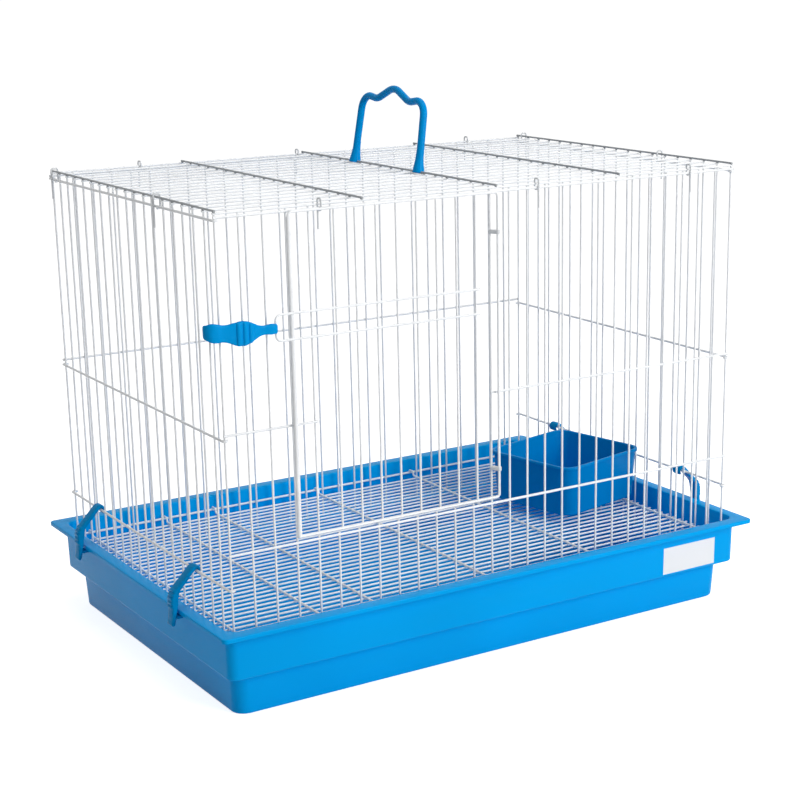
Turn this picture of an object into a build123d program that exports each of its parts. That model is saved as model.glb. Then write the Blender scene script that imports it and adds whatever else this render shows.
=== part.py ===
from build123d import *
import math
import os

# Driving sizes, in millimetres
# The cage corner frame: X along the front, Y to the back, Z up from the top of the tray rim.

# Wire cage
cage_length = 557.3
cage_depth = 366.1
bar_radius = 1.0
rail_radius = 1.2
weld = 0.012
bar_top = 360.0
front_top_rail_height = bar_top - 6.0
front_middle_rail_height = 173.0
front_sill_height = 66.0
side_top_rail_height = bar_top - 10.4
side_middle_rail_height = 168.6
side_low_rail_height = 34.0
base_rail_height = -13.5
rail_overhang = 2.0
doorway_left = 87.2
doorway_right = 272.0
left_gap_count = 4
doorway_gap_count = 9
right_gap_count = 14
back_gap_count = 27
side_gap_count = 18
wire_side_count = 8

# Top panel
top_cross_count = 5
panel_overhang = 1.6

# Floor grille
grille_height = -18.0
grille_gap_count = 36
grille_side_gap = 3.0
support_radius = 1.1
support_places = (14.0, 98.0, 155.0, 281.5, 406.0, cage_length - 12.3)
support_bend = 2.0
support_tail = 4.0

# Tray
tray_height = 86.1
tray_wall = 2.0
rim_overhang_x = 21.3
rim_overhang_y = 24.3
rim_corner_radius = 30.0
upper_corner_radius = 17.0
lower_corner_radius = 14.0
rim_thickness = 2.0
rim_lip_height = 4.0
rim_lip_wall = 1.5
upper_inset = 13.0
step_height = 39.7
lower_inset = 25.7
upper_draft = 1.0
lower_draft = 3.0

# Door
door_left = 66.0
door_bottom = 73.0
door_top = front_top_rail_height + 3.0
door_wire_radius = 1.25
door_corner_radius = 12.0
door_foot_radius = 3.0
door_cut_count = 3
butt_gap = 0.02
hinge_offset = 4.0
loop_wire_radius = 1.15
loop_left = 48.0
loop_right = 254.0
loop_low = 250.0
loop_high = loop_low + 22.5
loop_bend = 5.0

# Hinge straps
strap_wall = 0.8
strap_height = 7.0
strap_places = (front_sill_height + 34.0, front_top_rail_height - 32.0)
pivot_clearance = 0.05

# Door latch
latch_height = 22.0
latch_grip_height = 24.0
latch_barrel_height = 10.5
latch_barrel_radius = 3.2
latch_plate_thickness = 2.6
latch_front = 14.5
latch_tab_reach = 13.0
latch_grip_width = 17.0
latch_grip_centre = 23.0
latch_rib_count = 5
latch_rib_width = 1.8
latch_rib_depth = 0.9
latch_jaw_width = 7.0
latch_neck_length = 6.0
latch_hook_depth = 2.0
latch_channel_start = 6.0
latch_channel_end = 74.0
fit_gap = 0.3

# Tray clips
clip_width = 14.0
clip_barrel_wall = 2.3
clip_front_bar_count = 3
clip_rear_bar_count = 14
clip_arm_thickness = 3.4
clip_reach = 24.5
clip_shoulder = 3.0
clip_elbow = 6.0
clip_elbow_drop = 0.4
clip_neck = 2.2
clip_jaw_depth = 0.6
clip_mouth_reach = 1.4
clip_grip_drop = 3.0
clip_grip_thickness = 5.2
clip_grip_height = 17.0
clip_inner_land = 2.0
clip_tail_length = 15.0
clip_tail_thickness = 3.0
clip_tail_step = 1.4
clip_tail_taper = 4.0
clip_tail_flare = 0.4
clip_tooth_length = 7.0
clip_tooth_thickness = 2.6
clip_tooth_chamfer = 0.6
clip_tooth_slack = 0.2
clip_rib_count = 5
clip_rib_margin = 2.0
clip_rib_width = 1.4
clip_rib_depth = 0.7

# Panel hooks
hook_radius = 0.9
hook_tail = 22.0
hook_bend_cut_count = 2
front_hook_gaps = (2.5, 11.3)
doorway_hook_place = doorway_left + 10.3
back_hook_gaps = (4.5, 13.2, 23.6)
side_hook_bar_counts = (5, 17)

# Handle
handle_radius = 3.6
handle_tilt = 9.0
handle_rear_bar_count = 12
handle_span_count = 6
handle_foot_rise = 2.0
handle_shoulder_inset = 3.0
handle_bends = (11.0, 18.0, 24.0, 18.0, 11.0)
handle_bend_cut_count = 3
handle_shoulder_height = 68.0
handle_valley_height = 64.0
handle_crown_height = 77.0
handle_valley_offset = 30.0
foot_height = 16.0
foot_radius = 5.8
foot_drop = 1.3
retainer_radius = 7.6
retainer_thickness = 1.8

# Feeder
feeder_length = 97.0
feeder_width = 122.0
feeder_height = 53.0
feeder_wall = 1.8
feeder_corner_radius = 13.0
feeder_draft = 3.5
feeder_turn = 8.0
feeder_side_gap = -0.8
feeder_front_corner = 128.0
feeder_hook_bar_count = 7
feeder_strap_length = 9.0
feeder_hook_width = 9.0
feeder_hook_wall = 2.0
feeder_hook_drop = 9.0

# Places worked out from the driving sizes
wall_rail_offset = bar_radius + rail_radius - weld
ledge_height = step_height + tray_wall - tray_height
side_pitch = cage_depth / side_gap_count
right_pitch = (cage_length - doorway_right) / right_gap_count
back_pitch = cage_length / back_gap_count
corner_share = 1 / math.cos(math.pi / wire_side_count)
hook_reach = wall_rail_offset + rail_radius + 2 * weld + 2 * hook_radius
door_plane = -(hook_reach + fit_gap + door_wire_radius)
door_right = doorway_right + hinge_offset
loop_plane = door_plane - door_wire_radius - loop_wire_radius + 2 * weld
panel_height = bar_top + bar_radius
panel_cross_height = panel_height + bar_radius + rail_radius - weld
support_height = grille_height + bar_radius + support_radius - weld
rim_length = cage_length + 2 * rim_overhang_x
rim_depth = cage_depth + 2 * rim_overhang_y
PLACE = Pos(-cage_length / 2, -cage_depth / 2, tray_height)


def save(name, solids):
    placed = [PLACE * solid for solid in solids]
    export_step(Compound(placed), "parts/" + name + ".step")


# Wires: drawn with flats, so that two crossing wires weld flat to flat at the wire's own radius
def wire_section(radius):
    turn = 180 / wire_side_count
    return RegularPolygon(radius, wire_side_count, major_radius=False, rotation=turn)


def rod(start, end, radius):
    line = Vector(*end) - Vector(*start)
    section = Plane(origin=start, z_dir=line) * wire_section(radius)
    return extrude(section, line.length).solid()


# The corners of a bend, cut so that each short length touches the round of the bend
def bend_corners(before, corner, after, radius, cuts):
    arrive = (corner - before).normalized()
    leave = (after - corner).normalized()
    turn = math.radians(arrive.get_angle(leave))
    centre = corner + (leave - arrive).normalized() * (radius / math.cos(turn / 2))
    arm = (corner - arrive * (radius * math.tan(turn / 2)) - centre).normalized()
    reach = radius / math.cos(turn / cuts / 2)
    angles = [turn * (i + 0.5) / cuts for i in range(cuts)]
    return [centre + (arm * math.cos(a) + arrive * math.sin(a)) * reach for a in angles]


def bent_path(points, bends, cuts):
    points = [Vector(*point) for point in points]
    if not isinstance(bends, (list, tuple)):
        bends = [bends] * (len(points) - 2)
    path = [points[0]]
    for before, corner, after, bend in zip(points, points[1:], points[2:], bends):
        path += bend_corners(before, corner, after, bend, cuts)
    return path + [points[-1]]


def bent_wire(points, radius, bends, cuts=2, section=None):
    path = Polyline(*bent_path(points, bends, cuts))
    outline = section or wire_section(radius)
    start = Plane(origin=path @ 0, z_dir=path % 0)
    return sweep(start * outline, path=path, transition=Transition.RIGHT).solid()


def even_places(start, end, gaps):
    return [start + (end - start) * i / gaps for i in range(gaps + 1)]


def side_gap_centre(number):
    return (number + 0.5) * side_pitch


def upright(x, y, low, high):
    return rod((x, y, low), (x, y, high), bar_radius)


def long_rail(y, height, start, end):
    return rod((start, y, height), (end, y, height), rail_radius)


# Front panel: left of the doorway, right of it, below it, and the rail over it
def front_left_bars():
    places = even_places(0, doorway_left, left_gap_count)
    bars = [upright(x, 0, ledge_height, bar_top) for x in places]
    rail_end = doorway_left + rail_overhang
    middle = long_rail(-wall_rail_offset, front_middle_rail_height, -rail_overhang, rail_end)
    return bars + [middle]


def front_right_bars():
    places = even_places(doorway_right, cage_length, right_gap_count)
    bars = [upright(x, 0, ledge_height, bar_top) for x in places]
    rail_start = doorway_right - rail_overhang
    rail_end = cage_length + rail_overhang
    middle = long_rail(-wall_rail_offset, front_middle_rail_height, rail_start, rail_end)
    return bars + [middle]


def front_sill():
    places = even_places(doorway_left, doorway_right, doorway_gap_count)[1:-1]
    bars = [upright(x, 0, ledge_height, front_sill_height + rail_overhang) for x in places]
    rails = []
    for height in (front_sill_height, base_rail_height):
        rails.append(long_rail(-wall_rail_offset, height, -rail_overhang, cage_length + rail_overhang))
    return bars + rails


def front_top_rail():
    start = -rail_overhang
    end = cage_length + rail_overhang
    return [long_rail(-wall_rail_offset, front_top_rail_height, start, end)]


# Back panel: one welded grid with a low rail that also carries the floor grille
def back_panel():
    places = even_places(0, cage_length, back_gap_count)
    wires = [upright(x, cage_depth, ledge_height, bar_top) for x in places]
    for height in (front_top_rail_height, front_middle_rail_height, base_rail_height):
        y = cage_depth + wall_rail_offset
        wires.append(long_rail(y, height, -rail_overhang, cage_length + rail_overhang))
    return wires


# Side panels: each rail ends in a hook bent round the corner bars of the front and back panels
def side_rail(height):
    u = wall_rail_offset
    points = [
        (u, 0, height),
        (u, -u, height),
        (-u, -u, height),
        (-u, cage_depth + u, height),
        (u, cage_depth + u, height),
        (u, cage_depth, height),
    ]
    return bent_wire(points, rail_radius, u * 0.98)


def left_panel():
    places = even_places(0, cage_depth, side_gap_count)[1:-1]
    wires = [upright(0, y, ledge_height, bar_top) for y in places]
    for height in (side_top_rail_height, side_middle_rail_height, side_low_rail_height):
        wires.append(side_rail(height))
    return wires


def right_panel():
    middle = Plane(origin=(cage_length / 2, 0, 0), z_dir=(1, 0, 0))
    return [mirror(wire, about=middle) for wire in left_panel()]


# Top panel: close wires along the cage, cross wires welded on top of them
def top_panel():
    start = -panel_overhang
    end = cage_length + panel_overhang
    wires = []
    for y in even_places(0, cage_depth, side_gap_count):
        wires.append(rod((start, y, panel_height), (end, y, panel_height), bar_radius))
    for x in even_places(0, cage_length, top_cross_count - 1):
        front = (x, -panel_overhang, panel_cross_height)
        back = (x, cage_depth + panel_overhang, panel_cross_height)
        wires.append(rod(front, back, rail_radius))
    return wires


# Wire hooks that tie the top panel to the wall rails
def hook_path(rail_height, crown, tail_side, wire):
    outer = hook_reach - hook_radius
    inner = wire + hook_radius + 2 * weld
    low = rail_height - rail_radius - hook_radius - 2 * weld
    tail_u, curl_u, curl_end = outer, -inner, outer / 3
    if tail_side == "inside":
        tail_u, curl_u, curl_end = -inner, outer, -inner / 3
    return [
        (tail_u, rail_height - hook_tail),
        (tail_u, crown),
        (curl_u, crown),
        (curl_u, low),
        (curl_end, low),
    ]


def panel_hooks():
    hooks = []
    front_crown = panel_height + bar_radius + hook_radius
    side_crown = panel_cross_height + rail_radius + hook_radius
    bend = bar_radius + hook_radius
    front_path = hook_path(front_top_rail_height, front_crown, "outside", bar_radius)
    doorway_path = hook_path(front_top_rail_height, front_crown, "inside", bar_radius)
    side_path = hook_path(side_top_rail_height, side_crown, "outside", rail_radius)
    for gaps in front_hook_gaps:
        x = doorway_right + gaps * right_pitch
        hooks.append(bent_wire([(x, -u, z) for u, z in front_path], hook_radius, bend))
    x = doorway_hook_place
    hooks.append(bent_wire([(x, -u, z) for u, z in doorway_path], hook_radius, bend))
    for gaps in back_hook_gaps:
        x = gaps * back_pitch
        hooks.append(bent_wire([(x, cage_depth + u, z) for u, z in front_path], hook_radius, bend))
    for number in side_hook_bar_counts:
        y = side_gap_centre(number)
        hooks.append(bent_wire([(-u, y, z) for u, z in side_path], hook_radius, bend))
        hooks.append(bent_wire([(cage_length + u, y, z) for u, z in side_path], hook_radius, bend))
    return hooks


# Floor grille: close wires along the cage under cross wires that hang on the base rails
def grille_support(x):
    over_rail = base_rail_height + rail_radius + support_radius
    outer = wall_rail_offset + rail_radius + support_radius
    inner = bar_radius + support_radius + support_bend
    points = [
        (x, -outer, over_rail - support_tail),
        (x, -outer, over_rail),
        (x, inner, over_rail),
        (x, inner, support_height),
        (x, cage_depth - inner, support_height),
        (x, cage_depth - inner, over_rail),
        (x, cage_depth + outer, over_rail),
        (x, cage_depth + outer, over_rail - support_tail),
    ]
    return bent_wire(points, support_radius, support_bend)


def floor_grille():
    start = grille_side_gap
    end = cage_length - grille_side_gap
    wires = []
    for y in even_places(0, cage_depth, grille_gap_count)[1:-1]:
        wires.append(rod((start, y, grille_height), (end, y, grille_height), bar_radius))
    wires += [grille_support(x) for x in support_places]
    return wires


# Tray: a moulded two-step basin with a flat rim and a turned-down lip
def tray():
    step = step_height - tray_height
    floor = -tray_height
    centre = Pos(cage_length / 2, cage_depth / 2, 0)
    rim_outline = RectangleRounded(rim_length, rim_depth, rim_corner_radius)
    rim = extrude(rim_outline, -rim_thickness)
    lip = extrude(rim_outline, -rim_lip_height)
    lip_core = RectangleRounded(
        rim_length - 2 * rim_lip_wall,
        rim_depth - 2 * rim_lip_wall,
        rim_corner_radius - rim_lip_wall,
    )
    lip -= extrude(lip_core, -rim_lip_height)
    upper = basin(upper_inset, upper_corner_radius, 0, step, upper_draft)
    lower = basin(lower_inset, lower_corner_radius, step, floor, lower_draft)
    inner_step = step + tray_wall
    upper_hollow = basin(
        upper_inset + tray_wall, upper_corner_radius - tray_wall, 0, inner_step, upper_draft
    )
    lower_hollow = basin(
        lower_inset + tray_wall, lower_corner_radius - tray_wall, inner_step, floor + tray_wall, lower_draft
    )
    body = rim + lip + upper + lower - upper_hollow - lower_hollow
    return [centre * body.solid()]


def basin(inset, corner, high, low, draft):
    length = rim_length - 2 * inset
    depth = rim_depth - 2 * inset
    outline = Plane(origin=(0, 0, high), z_dir=(0, 0, -1)) * RectangleRounded(length, depth, corner)
    return extrude(outline, high - low, taper=draft)


# Door: a bent frame wire with bars inside it and a long pull loop across the front
def door():
    y = door_plane
    joint = (door_left + door_right) / 2
    points = [
        (joint + butt_gap / 2, y, door_bottom),
        (door_right, y, door_bottom),
        (door_right, y, door_top),
        (door_left, y, door_top),
        (door_left, y, door_bottom),
        (joint - butt_gap / 2, y, door_bottom),
    ]
    bends = [door_foot_radius, door_corner_radius, door_corner_radius, door_foot_radius]
    wires = [bent_wire(points, door_wire_radius, bends, door_cut_count)]
    low = door_bottom + door_wire_radius - weld
    high = door_top - door_wire_radius + weld
    for x in even_places(doorway_left, doorway_right, doorway_gap_count)[1:-1]:
        wires.append(upright(x, y - 2 * weld, low, high))
    return wires


def door_loop():
    points = [
        (loop_right, loop_plane, loop_low),
        (loop_left, loop_plane, loop_low),
        (loop_left, loop_plane, loop_high),
        (loop_right, loop_plane, loop_high),
    ]
    return [bent_wire(points, loop_wire_radius, loop_bend, door_cut_count)]


# Hinge straps: bent strip that ties the door's hinge wire to the doorway bar
def strap_outline(x1, y1, r1, x2, y2, r2):
    first = Pos(x1, y1) * Circle(r1)
    second = Pos(x2, y2) * Circle(r2)
    return make_hull(first.edges() + second.edges())


def hinge_straps():
    door_bore = door_wire_radius * corner_share + pivot_clearance
    outline = strap_outline(
        doorway_right, 0, bar_radius + strap_wall, door_right, door_plane, door_bore + strap_wall
    )
    outline -= Pos(doorway_right, 0) * wire_section(bar_radius)
    outline -= Pos(door_right, door_plane) * Circle(door_bore)
    straps = []
    for height in strap_places:
        straps.append(Pos(0, 0, height - strap_height / 2) * extrude(outline, strap_height).solid())
    return straps


# Door latch: turns on the end of the door's loop and snaps over the cage's corner bar
def door_latch():
    middle = (loop_low + loop_high) / 2
    bore = loop_wire_radius * corner_share + pivot_clearance
    back = loop_plane + latch_plate_thickness
    front = -latch_front
    barrel = Pos(loop_left, loop_plane) * Circle(latch_barrel_radius)
    arm = Pos(loop_left / 2, loop_plane) * Rectangle(loop_left, 2 * latch_plate_thickness)
    narrow = extrude(barrel + arm, latch_barrel_height)
    narrow = Pos(0, 0, middle - latch_barrel_height / 2) * narrow
    plate = Polyline(
        (loop_left - latch_neck_length, back),
        (latch_jaw_width / 2, back),
        (latch_jaw_width / 2, 0),
        (-latch_jaw_width / 2, 0),
        (-latch_jaw_width / 2, back),
        (-latch_tab_reach, back + latch_hook_depth / 2),
        (-latch_tab_reach, back - latch_hook_depth),
        (-latch_jaw_width, loop_plane - latch_plate_thickness),
        (loop_left - latch_neck_length, loop_plane - latch_plate_thickness),
        close=True,
    )
    wide = extrude(make_face(plate), latch_height)
    wide = Pos(0, 0, middle - latch_height / 2) * wide
    grip_outline = Pos(latch_grip_centre, (back + front) / 2) * Rectangle(latch_grip_width, back - front)
    grip = extrude(grip_outline, latch_grip_height)
    grip = Pos(0, 0, middle - latch_grip_height / 2) * grip
    body = narrow + wide + grip
    latch_rib = Box(latch_rib_width, 2 * latch_rib_depth, latch_grip_height)
    latch_rib = chamfer(latch_rib.edges().filter_by(Axis.Z).group_by(Axis.Y)[0], latch_rib_depth / 2)
    for x in even_places(-latch_grip_width / 2, latch_grip_width / 2, latch_rib_count - 1):
        body += Pos(latch_grip_centre + x, front, middle) * latch_rib
    body -= Pos(loop_left, loop_plane, middle) * Cylinder(bore, 2 * latch_height)
    body -= Pos(0, 0, middle) * Cylinder(bar_radius * corner_share + fit_gap, 2 * latch_height)
    loop_clear = loop_wire_radius + fit_gap
    channel_length = latch_channel_end - loop_left + latch_channel_start
    channel_middle = loop_left - latch_channel_start + channel_length / 2
    for height in (loop_low, loop_high):
        channel = Pos(channel_middle, loop_plane, height)
        body -= channel * Box(channel_length, 2 * loop_clear, 2 * loop_clear)
    return [body.solid()]


# Tray clips: hook over the low side rail, tooth under the rim, ribbed thumb pad and tail
def clip_profile():
    bore = rail_radius * corner_share + pivot_clearance
    barrel = bore + clip_barrel_wall
    reach = clip_reach
    grip_top = -clip_grip_drop
    grip_low = grip_top - clip_grip_height
    tail_low = grip_low - clip_tail_length - clip_grip_height
    rim_edge = rim_overhang_x - wall_rail_offset
    lip_low = -side_low_rail_height - rim_lip_height
    swing = math.hypot(rim_edge, lip_low) + 2 * fit_gap
    inner = reach - clip_grip_thickness / 2
    outer = reach + clip_grip_thickness / 2
    tip = inner - clip_tooth_length
    tip_low = -math.sqrt(swing ** 2 - tip ** 2)
    root_low = -math.sqrt(swing ** 2 - inner ** 2)
    tail_outer = outer + clip_tail_flare
    points = [
        (0, barrel),
        (reach - clip_shoulder, grip_top + clip_arm_thickness),
        (outer, grip_top),
        (outer, grip_low),
        (outer - clip_tail_step, grip_low - clip_tail_taper),
        (tail_outer, tail_low),
        (tail_outer - clip_tail_thickness, tail_low),
        (inner, tip_low - clip_tooth_thickness),
        (tip + clip_tooth_chamfer, tip_low - clip_tooth_thickness),
        (tip, tip_low - clip_tooth_slack),
        (inner, root_low - clip_tooth_slack),
        (inner, grip_top - clip_inner_land),
        (reach - clip_elbow, grip_top + clip_elbow_drop),
        (clip_neck, -clip_jaw_depth),
        (0, -clip_jaw_depth),
    ]
    lever = make_face(Polyline(*points, close=True))
    first_rib = grip_top - clip_rib_margin
    last_rib = grip_low + clip_rib_margin
    for height in even_places(first_rib, last_rib, clip_rib_count - 1):
        lever += Pos(outer, height) * clip_rib()
    mouth = Pos(-clip_width, -clip_width / 2 - bore / 2) * Rectangle(2 * clip_width, clip_width)
    mouth -= Pos(clip_width / 2 + clip_mouth_reach, 0) * Rectangle(clip_width, 4 * clip_width)
    return lever + Circle(barrel) - Circle(bore) - mouth


def clip_rib():
    half = clip_rib_width / 2
    return make_face(Polyline((-half, half), (0, half), (clip_rib_depth, 0), (0, -half), (-half, -half), close=True))


def clip(mirrored, bar_count):
    body = extrude(clip_profile(), clip_width)
    y = side_gap_centre(bar_count)
    frame = Plane(
        origin=(-wall_rail_offset, y - clip_width / 2, side_low_rail_height),
        x_dir=(-1, 0, 0),
        z_dir=(0, 1, 0),
    )
    solid = (frame * body).solid()
    if mirrored:
        solid = mirror(solid, about=Plane(origin=(cage_length / 2, 0, 0), z_dir=(1, 0, 0)))
    return [solid]


# Carrying handle: a round bent grip with a slotted foot at each end, on the middle cross wire
def handle_frame():
    return Pos(cage_length / 2, 0, panel_cross_height) * Rot(0, handle_tilt, 0)


def carrying_handle():
    rear = side_gap_centre(handle_rear_bar_count)
    front = rear - handle_span_count * side_pitch
    middle = (front + rear) / 2
    half = (rear - front) / 2
    shoulder = half - handle_shoulder_inset
    points = [
        (0, middle - half, handle_foot_rise),
        (0, middle - shoulder, handle_shoulder_height),
        (0, middle - handle_valley_offset, handle_valley_height),
        (0, middle, handle_crown_height),
        (0, middle + handle_valley_offset, handle_valley_height),
        (0, middle + shoulder, handle_shoulder_height),
        (0, middle + half, handle_foot_rise),
    ]
    body = bent_wire(points, handle_radius, handle_bends, handle_bend_cut_count, Circle(handle_radius))
    for y in (front, rear):
        cone = Cone(foot_radius, handle_radius, foot_height + foot_drop)
        body += Pos(0, y, (foot_height - foot_drop) / 2) * cone
    bore = rail_radius * corner_share + pivot_clearance
    for y in (front, rear):
        axle = Pos(0, y, 0) * Rot(90, 0, 0) * Cylinder(bore, 4 * foot_radius)
        slot = Pos(0, y, -foot_drop / 2) * Box(2 * bore, 4 * foot_radius, foot_drop)
        body = body - axle - slot
    return [handle_frame() * body.solid()]


def handle_retainers():
    rear = side_gap_centre(handle_rear_bar_count)
    front = rear - handle_span_count * side_pitch
    discs = []
    for y in (front, rear):
        disc = Cylinder(retainer_radius, retainer_thickness)
        disc = Pos(0, y, -foot_drop - retainer_thickness / 2) * disc
        discs.append(handle_frame() * disc.solid())
    return discs


# Feeder: an open trough with a rolled rim and a hook over the low side rail
def feeder():
    floor = grille_height + bar_radius + 2 * support_radius + fit_gap
    down = Plane(origin=(0, 0, feeder_height), z_dir=(0, 0, -1))
    outline = RectangleRounded(feeder_length, feeder_width, feeder_corner_radius)
    inner = RectangleRounded(
        feeder_length - 2 * feeder_wall,
        feeder_width - 2 * feeder_wall,
        feeder_corner_radius - feeder_wall,
    )
    shell = extrude(down * outline, feeder_height, taper=feeder_draft)
    shell -= extrude(down * inner, feeder_height - feeder_wall, taper=feeder_draft)
    turn = math.radians(feeder_turn)
    half_reach = feeder_length / 2 * math.cos(turn) + feeder_width / 2 * math.sin(turn)
    x = cage_length - bar_radius - feeder_side_gap - half_reach
    y = feeder_front_corner + feeder_width / 2 * math.cos(turn) - feeder_length / 2 * math.sin(turn)
    body = Pos(x, y, floor) * Rot(0, 0, feeder_turn) * shell
    hook_y = side_gap_centre(feeder_hook_bar_count)
    rail_x = cage_length + wall_rail_offset
    lip_inner = rail_x + rail_radius + fit_gap
    low = side_low_rail_height + rail_radius + fit_gap
    start = cage_length - feeder_strap_length
    strap = Pos((start + lip_inner) / 2, hook_y, low + feeder_hook_wall / 2)
    strap = strap * Box(lip_inner - start, feeder_hook_width, feeder_hook_wall)
    lip_top = low + feeder_hook_wall
    lip = Pos(lip_inner + feeder_hook_wall / 2, hook_y, lip_top - feeder_hook_drop / 2)
    lip = lip * Box(feeder_hook_wall, feeder_hook_width, feeder_hook_drop)
    hollow = Pos(x, y, floor) * Rot(0, 0, feeder_turn)
    hollow = hollow * extrude(down * inner, feeder_height - feeder_wall, taper=feeder_draft)
    body = body + ((strap + lip) - hollow)
    return [body.solid()]


os.makedirs("parts", exist_ok=True)
save("tray", tray())
save("floor_grille", floor_grille())
save("front_left_bars", front_left_bars())
save("front_right_bars", front_right_bars())
save("front_sill", front_sill())
save("front_top_rail", front_top_rail())
save("back_panel", back_panel())
save("left_panel", left_panel())
save("right_panel", right_panel())
save("top_panel", top_panel())
save("panel_hooks", panel_hooks())
save("door", door())
save("door_loop", door_loop())
save("hinge_straps", hinge_straps())
save("door_latch", door_latch())
save("clip_front_left", clip(False, clip_front_bar_count))
save("clip_rear_left", clip(False, clip_rear_bar_count))
save("clip_front_right", clip(True, clip_front_bar_count))
save("clip_rear_right", clip(True, clip_rear_bar_count))
save("carrying_handle", carrying_handle())
save("handle_retainers", handle_retainers())
save("feeder", feeder())
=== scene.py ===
import math

import bmesh
import bpy
from mathutils import Matrix, Vector


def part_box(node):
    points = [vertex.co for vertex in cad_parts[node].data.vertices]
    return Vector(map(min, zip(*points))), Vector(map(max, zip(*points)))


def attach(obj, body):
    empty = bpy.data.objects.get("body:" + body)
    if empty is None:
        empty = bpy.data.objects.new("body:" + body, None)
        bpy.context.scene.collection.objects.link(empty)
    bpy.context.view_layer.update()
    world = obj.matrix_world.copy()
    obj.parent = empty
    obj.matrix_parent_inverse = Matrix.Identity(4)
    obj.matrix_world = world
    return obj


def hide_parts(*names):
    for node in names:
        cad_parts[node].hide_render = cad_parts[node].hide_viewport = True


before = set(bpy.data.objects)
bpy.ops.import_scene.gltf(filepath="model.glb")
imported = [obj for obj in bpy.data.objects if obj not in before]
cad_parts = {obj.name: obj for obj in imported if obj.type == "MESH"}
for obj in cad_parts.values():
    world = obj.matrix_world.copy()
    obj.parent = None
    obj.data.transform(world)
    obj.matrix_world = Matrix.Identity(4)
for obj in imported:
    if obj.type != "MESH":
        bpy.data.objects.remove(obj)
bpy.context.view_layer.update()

# Tray
# A deep two-step basin, injection moulded in glossy azure plastic, with a flat rim whose edge turns
# down. It is drawn as rounded rectangles that follow one wall section all the way round.
rim_half_length, rim_half_depth, rim_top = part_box("tray")[1]
corner_steps = 10
azure = (0.0, 0.375, 0.86)


def plastic_grain():
    group = bpy.data.node_groups.new("plastic_grain", "ShaderNodeTree")
    face = group.interface
    for name, kind in (("Colour", "Color"), ("Depth", "Float"), ("Gloss", "Float"), ("Grain", "Float")):
        face.new_socket(name, in_out="INPUT", socket_type="NodeSocket" + kind)
    for name, kind in (("Colour", "Color"), ("Roughness", "Float"), ("Height", "Float")):
        face.new_socket(name, in_out="OUTPUT", socket_type="NodeSocket" + kind)
    nodes, links = group.nodes, group.links
    inputs = nodes.new("NodeGroupInput")
    outputs = nodes.new("NodeGroupOutput")
    place = nodes.new("ShaderNodeTexCoord")

    flow = nodes.new("ShaderNodeTexNoise")
    flow.inputs["Scale"].default_value = 9.0
    flow.inputs["Detail"].default_value = 2.0
    links.new(place.outputs["Object"], flow.inputs["Vector"])
    fine = nodes.new("ShaderNodeTexNoise")
    fine.inputs["Detail"].default_value = 3.0
    links.new(place.outputs["Object"], fine.inputs["Vector"])
    links.new(inputs.outputs["Grain"], fine.inputs["Scale"])

    streak_place = nodes.new("ShaderNodeMapping")
    streak_place.inputs["Scale"].default_value = (14.0, 14.0, 90.0)
    links.new(place.outputs["Object"], streak_place.inputs["Vector"])
    streak = nodes.new("ShaderNodeTexNoise")
    streak.inputs["Scale"].default_value = 1.0
    streak.inputs["Detail"].default_value = 4.0
    links.new(streak_place.outputs["Vector"], streak.inputs["Vector"])

    darker = nodes.new("ShaderNodeHueSaturation")
    links.new(inputs.outputs["Colour"], darker.inputs["Color"])
    value = nodes.new("ShaderNodeMapRange")
    links.new(flow.outputs["Fac"], value.inputs["Value"])
    value.inputs["From Min"].default_value = 0.3
    value.inputs["From Max"].default_value = 0.7
    for operation, limit in (("SUBTRACT", "To Min"), ("ADD", "To Max")):
        shade = nodes.new("ShaderNodeMath")
        shade.operation = operation
        shade.inputs[0].default_value = 1.0
        links.new(inputs.outputs["Depth"], shade.inputs[1])
        links.new(shade.outputs[0], value.inputs[limit])
    links.new(value.outputs["Result"], darker.inputs["Value"])
    links.new(darker.outputs["Color"], outputs.inputs["Colour"])

    dull = nodes.new("ShaderNodeMapRange")
    links.new(streak.outputs["Fac"], dull.inputs["Value"])
    dull.inputs["From Min"].default_value = 0.35
    dull.inputs["From Max"].default_value = 0.7
    dull.inputs["To Min"].default_value = 0.0
    dull.inputs["To Max"].default_value = 0.09
    rough = nodes.new("ShaderNodeMath")
    rough.operation = "ADD"
    links.new(inputs.outputs["Gloss"], rough.inputs[0])
    links.new(dull.outputs["Result"], rough.inputs[1])
    links.new(rough.outputs[0], outputs.inputs["Roughness"])
    links.new(fine.outputs["Fac"], outputs.inputs["Height"])
    return group


grain_group = plastic_grain()


def moulded(name, colour, depth=0.05, gloss=0.2, grain=900.0, relief=0.00004, shine=0.035):
    material = bpy.data.materials.new(name)
    material.use_nodes = True
    nodes, links = material.node_tree.nodes, material.node_tree.links
    shader = nodes["Principled BSDF"]
    shader.inputs["IOR"].default_value = 1.46
    shader.inputs["Specular IOR Level"].default_value = shine
    surface = nodes.new("ShaderNodeGroup")
    surface.node_tree = grain_group
    surface.inputs["Colour"].default_value = (*colour, 1.0)
    surface.inputs["Depth"].default_value = depth
    surface.inputs["Gloss"].default_value = gloss
    surface.inputs["Grain"].default_value = grain
    links.new(surface.outputs["Colour"], shader.inputs["Base Color"])
    links.new(surface.outputs["Roughness"], shader.inputs["Roughness"])
    bump = nodes.new("ShaderNodeBump")
    bump.inputs["Strength"].default_value = 0.35
    bump.inputs["Distance"].default_value = relief
    links.new(surface.outputs["Height"], bump.inputs["Height"])
    links.new(bump.outputs["Normal"], shader.inputs["Normal"])
    return material


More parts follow.
